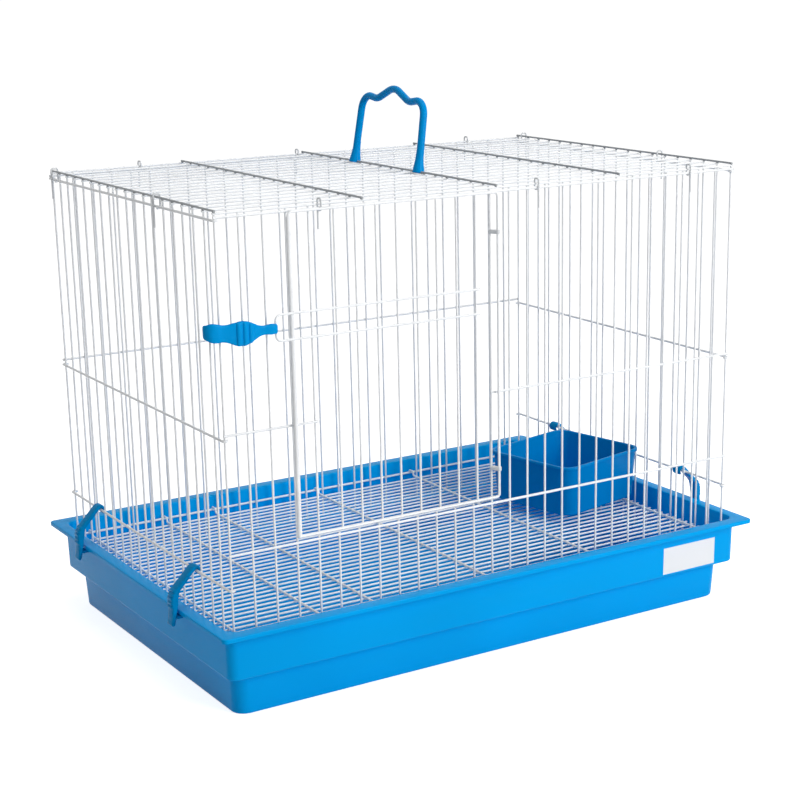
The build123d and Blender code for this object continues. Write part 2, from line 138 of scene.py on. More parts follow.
# The wall section: inset from the rim's edge, height, rounding of the corner and, seen from above,
# the radius that the basin's corner has there
wall = 0.002
step_height = 0.0397
upper_inset, lower_inset = 0.013, 0.0257
lip_thickness, lip_drop = 0.0015, 0.004
underside_margin, floor_margin = 0.012, 0.018
upper_draft = math.tan(math.radians(1.0))
lower_draft = math.tan(math.radians(3.0))
upper_fall = (rim_top - step_height) * upper_draft
lower_fall = step_height * lower_draft
inner_step = step_height + wall
section = [
    (lower_inset + underside_margin, 0.0, 0.0, 0.009),
    (lower_inset + lower_fall, 0.0, 0.003, 0.013),
    (lower_inset, step_height, 0.0012, 0.013),
    (upper_inset + upper_fall, step_height, 0.0022, 0.009),
    (upper_inset, rim_top - wall, 0.001, 0.009),
    (lip_thickness, rim_top - wall, 0.0004, 0.0035),
    (lip_thickness, rim_top - lip_drop, 0.0005, 0.0035),
    (0.0, rim_top - lip_drop, 0.0005, 0.005),
    (0.0, rim_top, 0.0010, 0.005),
    (upper_inset + wall, rim_top, 0.0016, 0.011),
    (upper_inset + wall + upper_fall, inner_step, 0.004, 0.011),
    (lower_inset + wall, inner_step, 0.0016, 0.011),
    (lower_inset + wall + lower_fall, wall, 0.004, 0.011),
    (lower_inset + floor_margin, wall, 0.0, 0.007),
]


def rounded_section(points, steps=4):
    most_of_side = 0.48
    out = [(points[0][0], points[0][1], points[0][3])]
    for before, point, after in zip(points, points[1:], points[2:]):
        here = Vector(point[:2])
        to_before = Vector(before[:2]) - here
        to_after = Vector(after[:2]) - here
        turn = math.pi - to_before.angle(to_after)
        reach = point[2] * math.tan(turn / 2)
        reach = min(reach, most_of_side * to_before.length, most_of_side * to_after.length)
        start = here + to_before.normalized() * reach
        end = here + to_after.normalized() * reach
        for i in range(steps + 1):
            t = i / steps
            bow = start * (1 - t) ** 2 + here * 2 * t * (1 - t) + end * t ** 2
            out.append((bow.x, bow.y, point[3]))
    return out + [(points[-1][0], points[-1][1], points[-1][3])]


def rounded_ring(half_length, half_depth, radius, height, steps=corner_steps):
    ring = []
    for quarter in range(4):
        sx = (1, -1, -1, 1)[quarter]
        sy = (1, 1, -1, -1)[quarter]
        for i in range(steps + 1):
            angle = math.radians(90 * (quarter + i / steps))
            x = sx * (half_length - radius) + radius * math.cos(angle)
            y = sy * (half_depth - radius) + radius * math.sin(angle)
            ring.append(Vector((x, y, height)))
    return ring


def ring_mesh(name, rings):
    around = len(rings[0])
    last = (len(rings) - 1) * around
    faces = []
    for start in range(0, last, around):
        for i in range(around):
            j = (i + 1) % around
            faces.append((start + i, start + j, start + around + j, start + around + i))
    faces.append(tuple(reversed(range(around))))
    faces.append(tuple(range(last, last + around)))
    mesh = bpy.data.meshes.new(name)
    mesh.from_pydata([point for ring in rings for point in ring], [], faces)
    return mesh


def placed(name, mesh, material, sharp):
    mesh.materials.clear()
    mesh.materials.append(material)
    mesh.polygons.foreach_set("use_smooth", [True] * len(mesh.polygons))
    mesh.polygons.foreach_set("material_index", [0] * len(mesh.polygons))
    mesh.set_sharp_from_angle(angle=math.radians(sharp))
    piece = bpy.data.objects.new(name, mesh)
    bpy.context.scene.collection.objects.link(piece)
    return piece


def mended(mesh):
    merge_distance = 0.000002
    shape = bmesh.new()
    shape.from_mesh(mesh)
    bmesh.ops.remove_doubles(shape, verts=shape.verts, dist=merge_distance)
    bmesh.ops.dissolve_degenerate(shape, edges=shape.edges, dist=merge_distance)
    bmesh.ops.recalc_face_normals(shape, faces=shape.faces)
    shape.to_mesh(mesh)
    shape.free()
    return mesh


def given_to(piece, body, slot, *nodes):
    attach(piece, body)
    if nodes:
        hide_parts(*nodes)


tray_blue = moulded("tray_blue", azure, depth=0.04, gloss=0.17, grain=700.0)
# Below the rim the basin is a little longer at each end than the rim's even inset would make it
body_growth, growth_from, growth_over = 0.005, 0.004, 0.02
tray_rings = []
for inset, height, radius in rounded_section(section):
    share = min(1.0, max(0.0, (inset - growth_from) / growth_over))
    half_length = rim_half_length - inset + body_growth * share
    tray_rings.append(rounded_ring(half_length, rim_half_depth - inset, radius, height))
tray = placed("tray_moulding", mended(ring_mesh("tray_moulding", tray_rings)), tray_blue, sharp=60.0)
given_to(tray, "cage", "tray_plastic", "tray")

# Sticker
# A small blank white label of thin plastic film, stuck low on the right of the tray's front. Its back is
# sunk into the moulding by its own thickness, and it leans with the drafted wall.
sticker_left, sticker_right = 0.1942, 0.261
sticker_low, sticker_high = 0.0425, 0.0703
sticker_thickness = 0.00016
sticker_white = moulded("sticker_white", (0.86, 0.87, 0.88), depth=0.015, gloss=0.3, relief=0.00001)
front_face = -(rim_half_depth - upper_inset)
sticker_corners = []
for proud in (-sticker_thickness, sticker_thickness):
    for x, z in (
        (sticker_left, sticker_low),
        (sticker_right, sticker_low),
        (sticker_right, sticker_high),
        (sticker_left, sticker_high),
    ):
        sticker_corners.append((x, front_face + (rim_top - z) * upper_draft - proud, z))
sticker_mesh = bpy.data.meshes.new("sticker")
sticker_sides = [(i, (i + 1) % 4, 4 + (i + 1) % 4, 4 + i) for i in range(4)]
sticker_mesh.from_pydata(sticker_corners, [], [(3, 2, 1, 0), (4, 5, 6, 7)] + sticker_sides)
sticker = placed("sticker", mended(sticker_mesh), sticker_white, sharp=40.0)
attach(sticker, "cage")

# Front and back panels
# Cold drawn steel wire, welded where it crosses and dipped in white plastic, which leaves a small bead at
# each crossing. The bars stand on the tray's ledge, and the long rails run on past the corner bars.
cage_length, cage_depth = 0.5573, 0.3661
bar_radius, rail_radius = 0.001, 0.0012
rail_offset = bar_radius + rail_radius
bar_top, bar_foot = 0.36, step_height + wall - rim_top
coat_white = (0.9, 0.915, 0.93)
bar_lean = math.radians(0.07)


def in_cage(x, y, z):
    return Vector((x - cage_length / 2, y - cage_depth / 2, z + rim_top))


def coated_wire(name, colour, grime=0.22, gloss=0.3):
    material = moulded(name, colour, gloss=gloss, grain=1500.0, relief=0.00006, shine=0.4)
    nodes, links = material.node_tree.nodes, material.node_tree.links
    shader = nodes["Principled BSDF"]
    surface = next(node for node in nodes if node.type == "GROUP")
    place = nodes.new("ShaderNodeTexCoord")
    drips = nodes.new("ShaderNodeTexNoise")
    drips.inputs["Scale"].default_value = 60.0
    drips.inputs["Detail"].default_value = 4.0
    links.new(place.outputs["Object"], drips.inputs["Vector"])
    mask = nodes.new("ShaderNodeMapRange")
    mask.inputs["From Min"].default_value = 0.56
    mask.inputs["From Max"].default_value = 0.8
    mask.inputs["To Max"].default_value = grime
    links.new(drips.outputs["Fac"], mask.inputs["Value"])
    tint = nodes.new("ShaderNodeMix")
    tint.data_type = "RGBA"
    tint.inputs["B"].default_value = (0.42, 0.44, 0.46, 1.0)
    links.new(surface.outputs["Colour"], tint.inputs["A"])
    links.new(mask.outputs["Result"], tint.inputs["Factor"])
    links.new(tint.outputs["Result"], shader.inputs["Base Color"])
    return material


def socketed(tree, sockets):
    for name, kind in sockets:
        tree.interface.new_socket(name, in_out="INPUT", socket_type="NodeSocket" + kind)
    tree.interface.new_socket("Geometry", in_out="OUTPUT", socket_type="NodeSocketGeometry")
    return tree.nodes.new("NodeGroupInput"), tree.nodes.new("NodeGroupOutput")


def swept_round(tree, inputs, path):
    nodes, links = tree.nodes, tree.links
    circle = nodes.new("GeometryNodeCurvePrimitiveCircle")
    links.new(inputs.outputs["Radius"], circle.inputs["Radius"])
    links.new(inputs.outputs["Sides"], circle.inputs["Resolution"])
    wire = nodes.new("GeometryNodeCurveToMesh")
    wire.inputs["Fill Caps"].default_value = True
    links.new(path, wire.inputs["Curve"])
    links.new(circle.outputs["Curve"], wire.inputs["Profile Curve"])
    return wire.outputs["Mesh"]


def painted(tree, inputs, outputs, geometry):
    real = tree.nodes.new("GeometryNodeRealizeInstances")
    tree.links.new(geometry, real.inputs["Geometry"])
    paint = tree.nodes.new("GeometryNodeSetMaterial")
    tree.links.new(real.outputs["Geometry"], paint.inputs["Geometry"])
    tree.links.new(inputs.outputs["Material"], paint.inputs["Material"])
    tree.links.new(paint.outputs["Geometry"], outputs.inputs["Geometry"])


row_sockets = [
    ("Geometry", "Geometry"),
    ("Count", "Int"),
    ("Start", "Vector"),
    ("Step", "Vector"),
    ("Radius", "Float"),
    ("Seed", "Int"),
    ("Material", "Material"),
]


def copies_in_row(tree, inputs, outputs, shape, spread, varied):
    nodes, links = tree.nodes, tree.links
    row = nodes.new("GeometryNodeMeshLine")
    row.mode = "OFFSET"
    links.new(inputs.outputs["Count"], row.inputs["Count"])
    links.new(inputs.outputs["Start"], row.inputs["Start Location"])
    links.new(inputs.outputs["Step"], row.inputs["Offset"])
    links.new(inputs.outputs["Seed"], spread.inputs["Seed"])
    copies = nodes.new("GeometryNodeInstanceOnPoints")
    links.new(row.outputs["Mesh"], copies.inputs["Points"])
    links.new(shape, copies.inputs["Instance"])
    links.new(spread.outputs["Value"], copies.inputs[varied])
    painted(tree, inputs, outputs, copies.outputs["Instances"])


def bar_row_tree():
    tree = bpy.data.node_groups.new("bar_row", "GeometryNodeTree")
    bar_sockets = [("Reach", "Vector"), ("Sides", "Int"), ("Lean", "Float")]
    inputs, outputs = socketed(tree, row_sockets + bar_sockets)
    nodes, links = tree.nodes, tree.links
    line = nodes.new("GeometryNodeCurvePrimitiveLine")
    links.new(inputs.outputs["Reach"], line.inputs["End"])
    points = nodes.new("GeometryNodeResampleCurve")
    points.inputs["Count"].default_value = 4
    links.new(line.outputs["Curve"], points.inputs["Curve"])
    spread = nodes.new("FunctionNodeRandomValue")
    spread.data_type = "FLOAT_VECTOR"
    for way, limit in ((-1.0, "Min"), (1.0, "Max")):
        tilt = nodes.new("ShaderNodeVectorMath")
        tilt.operation = "SCALE"
        tilt.inputs[0].default_value = (way, way, way)
        links.new(inputs.outputs["Lean"], tilt.inputs["Scale"])
        links.new(tilt.outputs["Vector"], spread.inputs[limit])
    bar = swept_round(tree, inputs, points.outputs["Curve"])
    copies_in_row(tree, inputs, outputs, bar, spread, "Rotation")
    return tree


def bead_row_tree():
    tree = bpy.data.node_groups.new("bead_row", "GeometryNodeTree")
    inputs, outputs = socketed(tree, row_sockets)
    nodes, links = tree.nodes, tree.links
    bead = nodes.new("GeometryNodeMeshIcoSphere")
    bead.inputs["Subdivisions"].default_value = 1
    links.new(inputs.outputs["Radius"], bead.inputs["Radius"])
    spread = nodes.new("FunctionNodeRandomValue")
    spread.data_type = "FLOAT_VECTOR"
    spread.inputs["Min"].default_value = (0.85, 0.85, 0.85)
    spread.inputs["Max"].default_value = (1.1, 1.1, 1.1)
    copies_in_row(tree, inputs, outputs, bead.outputs["Mesh"], spread, "Scale")
    return tree


def bent_wire_tree():
    tree = bpy.data.node_groups.new("bent_wire", "GeometryNodeTree")
    inputs, outputs = socketed(tree, [
        ("Geometry", "Geometry"),
        ("Radius", "Float"),
        ("Sides", "Int"),
        ("Bend Steps", "Int"),
        ("Material", "Material"),
    ])
    nodes, links = tree.nodes, tree.links
    path = nodes.new("GeometryNodeMeshToCurve")
    links.new(inputs.outputs["Geometry"], path.inputs["Mesh"])
    bend = nodes.new("GeometryNodeInputNamedAttribute")
    bend.data_type = "FLOAT"
    bend.inputs["Name"].default_value = "bend"
    fillet = nodes.new("GeometryNodeFilletCurve")
    fillet.mode = "POLY"
    fillet.inputs["Limit Radius"].default_value = True
    links.new(path.outputs["Curve"], fillet.inputs["Curve"])
    links.new(bend.outputs["Attribute"], fillet.inputs["Radius"])
    links.new(inputs.outputs["Bend Steps"], fillet.inputs["Count"])
    painted(tree, inputs, outputs, swept_round(tree, inputs, fillet.outputs["Curve"]))
    return tree


bar_row = bar_row_tree()
bead_row = bead_row_tree()
bent_wire = bent_wire_tree()


def settled(holder):
    bpy.context.view_layer.update()
    evaluated = holder.evaluated_get(bpy.context.evaluated_depsgraph_get())
    mesh = bpy.data.meshes.new_from_object(evaluated)
    holder.modifiers.clear()
    bpy.data.objects.remove(holder)
    return mesh


def grown(tree, start_mesh, **values):
    holder = bpy.data.objects.new("forming", start_mesh)
    bpy.context.scene.collection.objects.link(holder)
    modifier = holder.modifiers.new("form", "NODES")
    modifier.node_group = tree
    for item in tree.interface.items_tree:
        if item.in_out == "INPUT" and item.name in values:
            modifier[item.identifier] = values[item.name]
    return settled(holder)


def bars(start, step, reach, count, radius, material, seed, sway=bar_lean):
    return grown(
        bar_row,
        bpy.data.meshes.new("row"),
        Count=count,
        Start=tuple(start),
        Step=tuple(step),
        Reach=tuple(reach),
        Radius=radius,
        Sides=10,
        Lean=sway,
        Seed=seed,
        Material=material,
    )


def single_bar(start, reach, radius, material, seed):
    return bars(start, (0, 0, 0), reach, 1, radius, material, seed, sway=0.0)


def beads(start, step, count, material, seed, radius=0.00125):
    return grown(
        bead_row,
        bpy.data.meshes.new("row"),
        Count=count,
        Start=tuple(start),
        Step=tuple(step),
        Radius=radius,
        Seed=seed,
        Material=material,
    )


def bent(paths, radius, material, sides=10, steps=5, closed=False):
    points, edges, bends = [], [], []
    for path, path_bends in paths:
        first = len(points)
        points += [tuple(point) for point in path]
        edges += [(first + i, first + i + 1) for i in range(len(path) - 1)]
        if closed:
            edges.append((first + len(path) - 1, first))
        bends += path_bends
    mesh = bpy.data.meshes.new("path")
    mesh.from_pydata(points, edges, [])
    attribute = mesh.attributes.new("bend", "FLOAT", "POINT")
    attribute.data.foreach_set("value", bends)
    values = {"Bend Steps": steps, "Radius": radius, "Sides": sides, "Material": material}
    return grown(bent_wire, mesh, **values)


def joined(name, meshes, material, sharp=40.0):
    shape = bmesh.new()
    for mesh in meshes:
        shape.from_mesh(mesh)
    merged = bpy.data.meshes.new(name)
    shape.to_mesh(merged)
    shape.free()
    return placed(name, merged, material, sharp)


cage_coat = coated_wire("cage_coat", coat_white)
doorway_left, doorway_right = 0.0872, 0.272
left_gaps, doorway_gaps, right_gaps, back_gaps = 4, 9, 14, 27
left_step = doorway_left / left_gaps
sill_step = (doorway_right - doorway_left) / doorway_gaps
right_step = (cage_length - doorway_right) / right_gaps
back_step = cage_length / back_gaps
sill_bars = doorway_gaps - 1
top_rail, middle_rail, sill_rail, base_rail = 0.358, 0.173, 0.066, -0.0135
sill_bar_top = 0.068
rail_over = 0.002
rail_start, rail_end = -rail_over, cage_length + rail_over
# The front's middle rail stops at the doorway
front_rails = [
    (top_rail, rail_start, rail_end),
    (middle_rail, rail_start, doorway_left + rail_over),
    (middle_rail, doorway_right - rail_over, rail_end),
    (sill_rail, rail_start, rail_end),
    (base_rail, rail_start, rail_end),
]
upright = Vector((0, 0, bar_top - bar_foot))
first_left = in_cage(0, 0, bar_foot)
first_right = in_cage(doorway_right, 0, bar_foot)
first_sill = in_cage(doorway_left + sill_step, 0, bar_foot)
sill_reach = (0, 0, sill_bar_top - bar_foot)
front_meshes = [
    bars(first_left, (left_step, 0, 0), upright, left_gaps + 1, bar_radius, cage_coat, seed=1),
    bars(first_right, (right_step, 0, 0), upright, right_gaps + 1, bar_radius, cage_coat, seed=2),
    bars(first_sill, (sill_step, 0, 0), sill_reach, sill_bars, bar_radius, cage_coat, seed=3),
]
for height, start, end in front_rails:
    rail = in_cage(start, -rail_offset, height)
    front_meshes.append(single_bar(rail, (end - start, 0, 0), rail_radius, cage_coat, seed=4))
for height in (top_rail, middle_rail, sill_rail, base_rail):
    left_bead = in_cage(0, -bar_radius, height)
    right_bead = in_cage(doorway_right, -bar_radius, height)
    front_meshes.append(beads(left_bead, (left_step, 0, 0), left_gaps + 1, cage_coat, seed=5))
    front_meshes.append(beads(right_bead, (right_step, 0, 0), right_gaps + 1, cage_coat, seed=6))
for height in (sill_rail, base_rail):
    sill_bead = in_cage(doorway_left + sill_step, -bar_radius, height)
    front_meshes.append(beads(sill_bead, (sill_step, 0, 0), sill_bars, cage_coat, seed=7))
front_panel = joined("front_wire_panel", front_meshes, cage_coat)
front_nodes = ("front_left_bars", "front_right_bars", "front_sill", "front_top_rail")
given_to(front_panel, "cage", "cage_wire", *front_nodes)

first_back = in_cage(0, cage_depth, bar_foot)
back_meshes = [
    bars(first_back, (back_step, 0, 0), upright, back_gaps + 1, bar_radius, cage_coat, seed=11)
]
back_reach = (cage_length + 2 * rail_over, 0, 0)
for height in (top_rail, middle_rail, base_rail):
    rail = in_cage(rail_start, cage_depth + rail_offset, height)
    back_meshes.append(single_bar(rail, back_reach, rail_radius, cage_coat, seed=12))
    bead = in_cage(0, cage_depth + bar_radius, height)
    back_meshes.append(beads(bead, (back_step, 0, 0), back_gaps + 1, cage_coat, seed=13))
back_panel = joined("back_wire_panel", back_meshes, cage_coat)
given_to(back_panel, "cage", "cage_wire", "back_panel")

# Side panels
# Welded panels of the same coated wire. Each rail is longer than the panel, and its ends are bent round
# the corner bars of the front and back, which is how the four walls are put together.
side_gaps = 18
side_step = cage_depth / side_gaps
side_bars = side_gaps - 1
side_row = (0, side_step, 0)
side_top_rail, side_middle_rail, side_low_rail = 0.3556, 0.1686, 0.034
side_bend = rail_offset * 0.98
for side, name in ((-1, "left"), (1, "right")):
    wall_x = 0.0 if side < 0 else cage_length
    out = side * rail_offset
    first_side = in_cage(wall_x, side_step, bar_foot)
    side_meshes = [
        bars(first_side, side_row, upright, side_bars, bar_radius, cage_coat, seed=20 + side)
    ]
    for height in (side_top_rail, side_middle_rail, side_low_rail):
        path = [
            in_cage(wall_x - out, 0, height),
            in_cage(wall_x - out, -rail_offset, height),
            in_cage(wall_x + out, -rail_offset, height),
            in_cage(wall_x + out, cage_depth + rail_offset, height),
            in_cage(wall_x - out, cage_depth + rail_offset, height),
            in_cage(wall_x - out, cage_depth, height),
        ]
        side_meshes.append(bent([(path, [side_bend] * 6)], rail_radius, cage_coat))
        bead = in_cage(wall_x + side * bar_radius, side_step, height)
        side_meshes.append(beads(bead, side_row, side_bars, cage_coat, seed=24))
    side_panel = joined(name + "_wire_panel", side_meshes, cage_coat)
    given_to(side_panel, "cage", "cage_wire", name + "_panel")

# Top panel
# Nineteen coated wires along the cage with five cross wires welded on top of them. The cross wires and
# their larger weld beads are coloured dark grey, which is painted shade, with a little dirt mottling over
# it.
top_height = bar_top + bar_radius
cross_height = top_height + rail_offset
cross_gaps = 4
wire_over = 0.0016
long_reach = (cage_length + 2 * wire_over, 0, 0)
cross_reach = (0, cage_depth + 2 * wire_over, 0)
long_count, cross_count = side_gaps + 1, cross_gaps + 1
first_long = in_cage(-wire_over, 0, top_height)
first_cross = in_cage(0, -wire_over, cross_height)
top_meshes = [
    bars(first_long, side_row, long_reach, long_count, bar_radius, cage_coat, seed=31, sway=0.0004)
]
# The dark grey base colour is painted shade on the cross wires; the grime noise over it is dirt
shaded_cross_coat = coated_wire("shaded_cross_coat", (0.36, 0.38, 0.4), grime=0.5, gloss=0.34)
cross_row = (cage_length / cross_gaps, 0, 0)
cross_meshes = [
    bars(first_cross, cross_row, cross_reach, cross_count, bar_radius, shaded_cross_coat, seed=32, sway=0.0)
]
# The weld beads take the same dark grey: painted shadow dots at the crossings
for i in range(cross_count):
    bead = in_cage(i * cage_length / cross_gaps, 0, top_height + bar_radius)
    cross_meshes.append(beads(bead, side_row, long_count, shaded_cross_coat, seed=33, radius=0.0015))
top_wires = joined("top_long_wires", top_meshes, cage_coat)
given_to(top_wires, "cage", "cage_wire", "top_panel")
cross_wires = joined("top_cross_wires", cross_meshes, shaded_cross_coat)
given_to(cross_wires, "cage", "cage_wire")

# Panel hooks
# Short lengths of coated spring wire, bent by hand over the top panel's edge and under the wall's rail,
# to hold the top on. The one beside the doorway has its tail inside, out of the door's way.
hook_coat = coated_wire("hook_coat", (0.72, 0.74, 0.76), grime=0.4, gloss=0.28)
hook_radius = 0.0009
hook_tail = 0.0185
hook_bend = 0.0019
front_arch, side_arch = 0.003, 0.001
right_hook_gaps, back_hook_gaps, side_hook_gaps = (2.5, 11.3), (4.5, 13.2, 23.6), (5.5, 17.5)
doorway_hook_x = doorway_left + 0.0103


def hook_places(rail_height, crown, inside, wire):
    outer = rail_offset + rail_radius + hook_radius
    inner = wire + hook_radius
    low = rail_height - rail_radius - hook_radius
    tail_u, curl_u, curl_end = outer, -inner, outer / 3
    if inside:
        tail_u, curl_u, curl_end = -inner, outer, -inner / 3
    return [
        (tail_u, rail_height - hook_tail),
        (tail_u, crown),
        (curl_u, crown),
        (curl_u, low),
        (curl_end, low),
    ]


front_crown = top_height + bar_radius + hook_radius + front_arch
side_crown = cross_height + rail_radius + hook_radius + side_arch
plain_hook = hook_places(top_rail, front_crown, False, bar_radius)
door_hook = hook_places(top_rail, front_crown, True, bar_radius)
side_hook = hook_places(side_top_rail, side_crown, False, rail_radius)
hook_paths = []
for gaps in right_hook_gaps:
    hook_paths.append([in_cage(doorway_right + gaps * right_step, -u, z) for u, z in plain_hook])
hook_paths.append([in_cage(doorway_hook_x, -u, z) for u, z in door_hook])
for gaps in back_hook_gaps:
    hook_paths.append([in_cage(gaps * back_step, cage_depth + u, z) for u, z in plain_hook])
for gaps in side_hook_gaps:
    y = gaps * side_step
    hook_paths.append([in_cage(-u, y, z) for u, z in side_hook])
    hook_paths.append([in_cage(cage_length + u, y, z) for u, z in side_hook])
hook_bends = [0.0, hook_bend, hook_bend, hook_bend, 0.0]
bent_hooks = [(path, hook_bends) for path in hook_paths]
hooks = joined("wire_hooks", [bent(bent_hooks, hook_radius, hook_coat, sides=12, steps=6)], hook_coat)
given_to(hooks, "cage", "hook_wire", "panel_hooks")

# Floor grille
# Thirty-five coated wires along the cage on six cross wires. The cross wires' ends are hooked over the base
# rails, so the grille lifts out with the cage.
grille_coat = coated_wire("grille_coat", (0.94, 0.95, 0.955), grime=0.12, gloss=0.32)
grille_height, grille_edge = -0.018, 0.003
grille_gaps = 36
grille_wires = grille_gaps - 1
grille_step = cage_depth / grille_gaps
support_radius, support_bend = 0.0011, 0.002
support_tail, support_clearance = 0.004, 0.002
support_places = (0.014, 0.098, 0.155, 0.2815, 0.406, cage_length - 0.0123)
grille_row = (0, grille_step, 0)
first_wire = in_cage(grille_edge, grille_step, grille_height)
wire_reach = (cage_length - 2 * grille_edge, 0, 0)
grille_meshes = [
    bars(first_wire, grille_row, wire_reach, grille_wires, bar_radius, grille_coat, seed=41, sway=0.0005)
]
support_height = grille_height + bar_radius + support_radius
over_rail = base_rail + rail_radius + support_radius
support_out = rail_offset + rail_radius + support_radius
support_in = bar_radius + support_radius + support_clearance
support_paths = []
for x in support_places:
    path = [
        in_cage(x, -support_out, over_rail - support_tail),
        in_cage(x, -support_out, over_rail),
        in_cage(x, support_in, over_rail),
        in_cage(x, support_in, support_height),
        in_cage(x, cage_depth - support_in, support_height),
        in_cage(x, cage_depth - support_in, over_rail),
        in_cage(x, cage_depth + support_out, over_rail),
        in_cage(x, cage_depth + support_out, over_rail - support_tail),
    ]
    support_paths.append((path, [0.0] + [support_bend] * 6 + [0.0]))
    bead = in_cage(x, grille_step, grille_height + bar_radius)
    grille_meshes.append(beads(bead, grille_row, grille_wires, grille_coat, seed=42, radius=0.0011))
grille_meshes.append(bent(support_paths, support_radius, grille_coat))
grille = joined("floor_wires", grille_meshes, grille_coat)
given_to(grille, "cage", "grille_wire", "floor_grille")

# Door
# A frame bent from one thicker coated wire and butt welded at the bottom, with eight bars welded inside it.
# A thin white sleeve covers its left wire, and a long pull loop is welded across its front.
door_coat = coated_wire("door_coat", coat_white, grime=0.2)
door_radius, sleeve_radius, loop_radius = 0.00125, 0.0022, 0.00115
door_left, door_right = 0.0645, 0.276
door_bottom, door_top = 0.073, 0.358
door_bends = [0.003, 0.003, 0.004, 0.004]
sleeve_drop, sleeve_short = 0.0005, 0.0035
bar_weld = 0.6
loop_left, loop_right = 0.048, 0.254
loop_bottom, loop_top = 0.25, 0.2725
loop_bends = [0.0, 0.005, 0.005, 0.0]
first_bar_x = doorway_left + sill_step
door_row = (sill_step, 0, 0)


def middle_depth(node):
    low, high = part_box(node)
    return (low[1] + high[1]) / 2 + cage_depth / 2


door_y = middle_depth("door")
door_path = [
    in_cage(door_left, door_y, door_bottom),
    in_cage(door_right, door_y, door_bottom),
    in_cage(door_right, door_y, door_top),
    in_cage(door_left, door_y, door_top),
]
sleeve_foot = in_cage(door_left, door_y, door_bottom - sleeve_drop)
sleeve_reach = (0, 0, door_top - door_bottom - sleeve_short)
bar_start = in_cage(first_bar_x, door_y, door_bottom + door_radius * bar_weld)
bar_reach = (0, 0, door_top - door_bottom - 2 * bar_weld * door_radius)
door_meshes = [
    bent([(door_path, door_bends)], door_radius, door_coat, sides=14, steps=8, closed=True),
    single_bar(sleeve_foot, sleeve_reach, sleeve_radius, door_coat, seed=54),
    bars(bar_start, door_row, bar_reach, sill_bars, bar_radius, door_coat, seed=51, sway=0.0006),
]
for height in (door_bottom + door_radius, door_top - door_radius):
    bead = in_cage(first_bar_x, door_y, height)
    door_meshes.append(beads(bead, door_row, sill_bars, door_coat, seed=52, radius=0.0013))
door = joined("door_wire_panel", door_meshes, door_coat)
given_to(door, "door", "door_wire", "door")

loop_y = middle_depth("door_loop")
loop_path = [
    in_cage(loop_right, loop_y, loop_bottom),
    in_cage(loop_left, loop_y, loop_bottom),
    in_cage(loop_left, loop_y, loop_top),
    in_cage(loop_right, loop_y, loop_top),
]
loop_meshes = [bent([(loop_path, loop_bends)], loop_radius, door_coat, sides=14, steps=6)]
for height in (loop_bottom, loop_top):
    bead = in_cage(first_bar_x, loop_y + loop_radius, height)
    loop_meshes.append(beads(bead, door_row, sill_bars, door_coat, seed=53, radius=0.0012))
loop = joined("door_pull_loop", loop_meshes, door_coat)
given_to(loop, "door", "door_wire", "door_loop")

# Hinge straps
# Two strips of coated sheet steel, folded round the doorway bar and the door's hinge wire. They take the
# folded form of the solids, with softened edges and half the height.
strap_coat = coated_wire("strap_coat", (0.72, 0.74, 0.76), grime=0.35, gloss=0.26)
strap_merge, strap_edge = 0.000004, 0.00012
strap_half_height, strap_shrink = 0.0035, 0.5
strap_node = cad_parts["hinge_straps"]
strap_shape = bmesh.new()
strap_shape.from_mesh(strap_node.data)
bmesh.ops.transform(strap_shape, matrix=strap_node.matrix_world, verts=strap_shape.verts)
bmesh.ops.remove_doubles(strap_shape, verts=strap_shape.verts, dist=strap_merge)
bmesh.ops.dissolve_limit(
    strap_shape,
    angle_limit=math.radians(1.0),
    verts=strap_shape.verts,
    edges=strap_shape.edges,
    use_dissolve_boundaries=False,
)
strap_mesh = bpy.data.meshes.new("hinge_strips")
strap_shape.to_mesh(strap_mesh)
strap_shape.free()
strap_holder = bpy.data.objects.new("softening", strap_mesh)
bpy.context.scene.collection.objects.link(strap_holder)
bevel = strap_holder.modifiers.new("edge", "BEVEL")
bevel.width = strap_edge
bevel.segments = 2
bevel.limit_method = "ANGLE"
bevel.angle_limit = math.radians(30)
bevel.harden_normals = False
straps = placed("hinge_strips", mended(settled(strap_holder)), strap_coat, sharp=35.0)
strap_low, strap_high = (corner[2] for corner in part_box("hinge_straps"))
strap_middle = (strap_low + strap_high) / 2
strap_half_gap = (strap_high - strap_middle) - strap_half_height
for point in straps.data.vertices:
    middle = strap_middle + math.copysign(strap_half_gap, point.co.z - strap_middle)
    point.co.z = middle + (point.co.z - middle) * strap_shrink
given_to(straps, "cage", "strap_metal", "hinge_straps")

# Latch and tray clips
# Moulded in the tray's plastic. The latch turns on the rounded end of the door's loop and snaps over the
# doorway's corner bar, and the four clips hang on the low side rails and snap under the tray's rim.
latch_blue = moulded("latch_blue", (0.0, 0.30, 0.72), depth=0.06, gloss=0.2, grain=1100.0)


def through(points, steps):
    out = []
    last = len(points) - 1
    for i in range(last):
        a, b, c, d = (Vector(points[min(max(j, 0), last)]) for j in (i - 1, i, i + 1, i + 2))
        bend = 2 * a - 5 * b + 4 * c - d
        twist = 3 * b - a - 3 * c + d
        for step in range(steps):
            t = step / steps
            out.append(0.5 * (2 * b + (c - a) * t + bend * t ** 2 + twist * t ** 3))
    return out + [Vector(points[-1])]


def squarish(angle, power=0.42):
    cos, sin = math.cos(angle), math.sin(angle)
    return math.copysign(abs(cos) ** power, cos), math.copysign(abs(sin) ** power, sin)


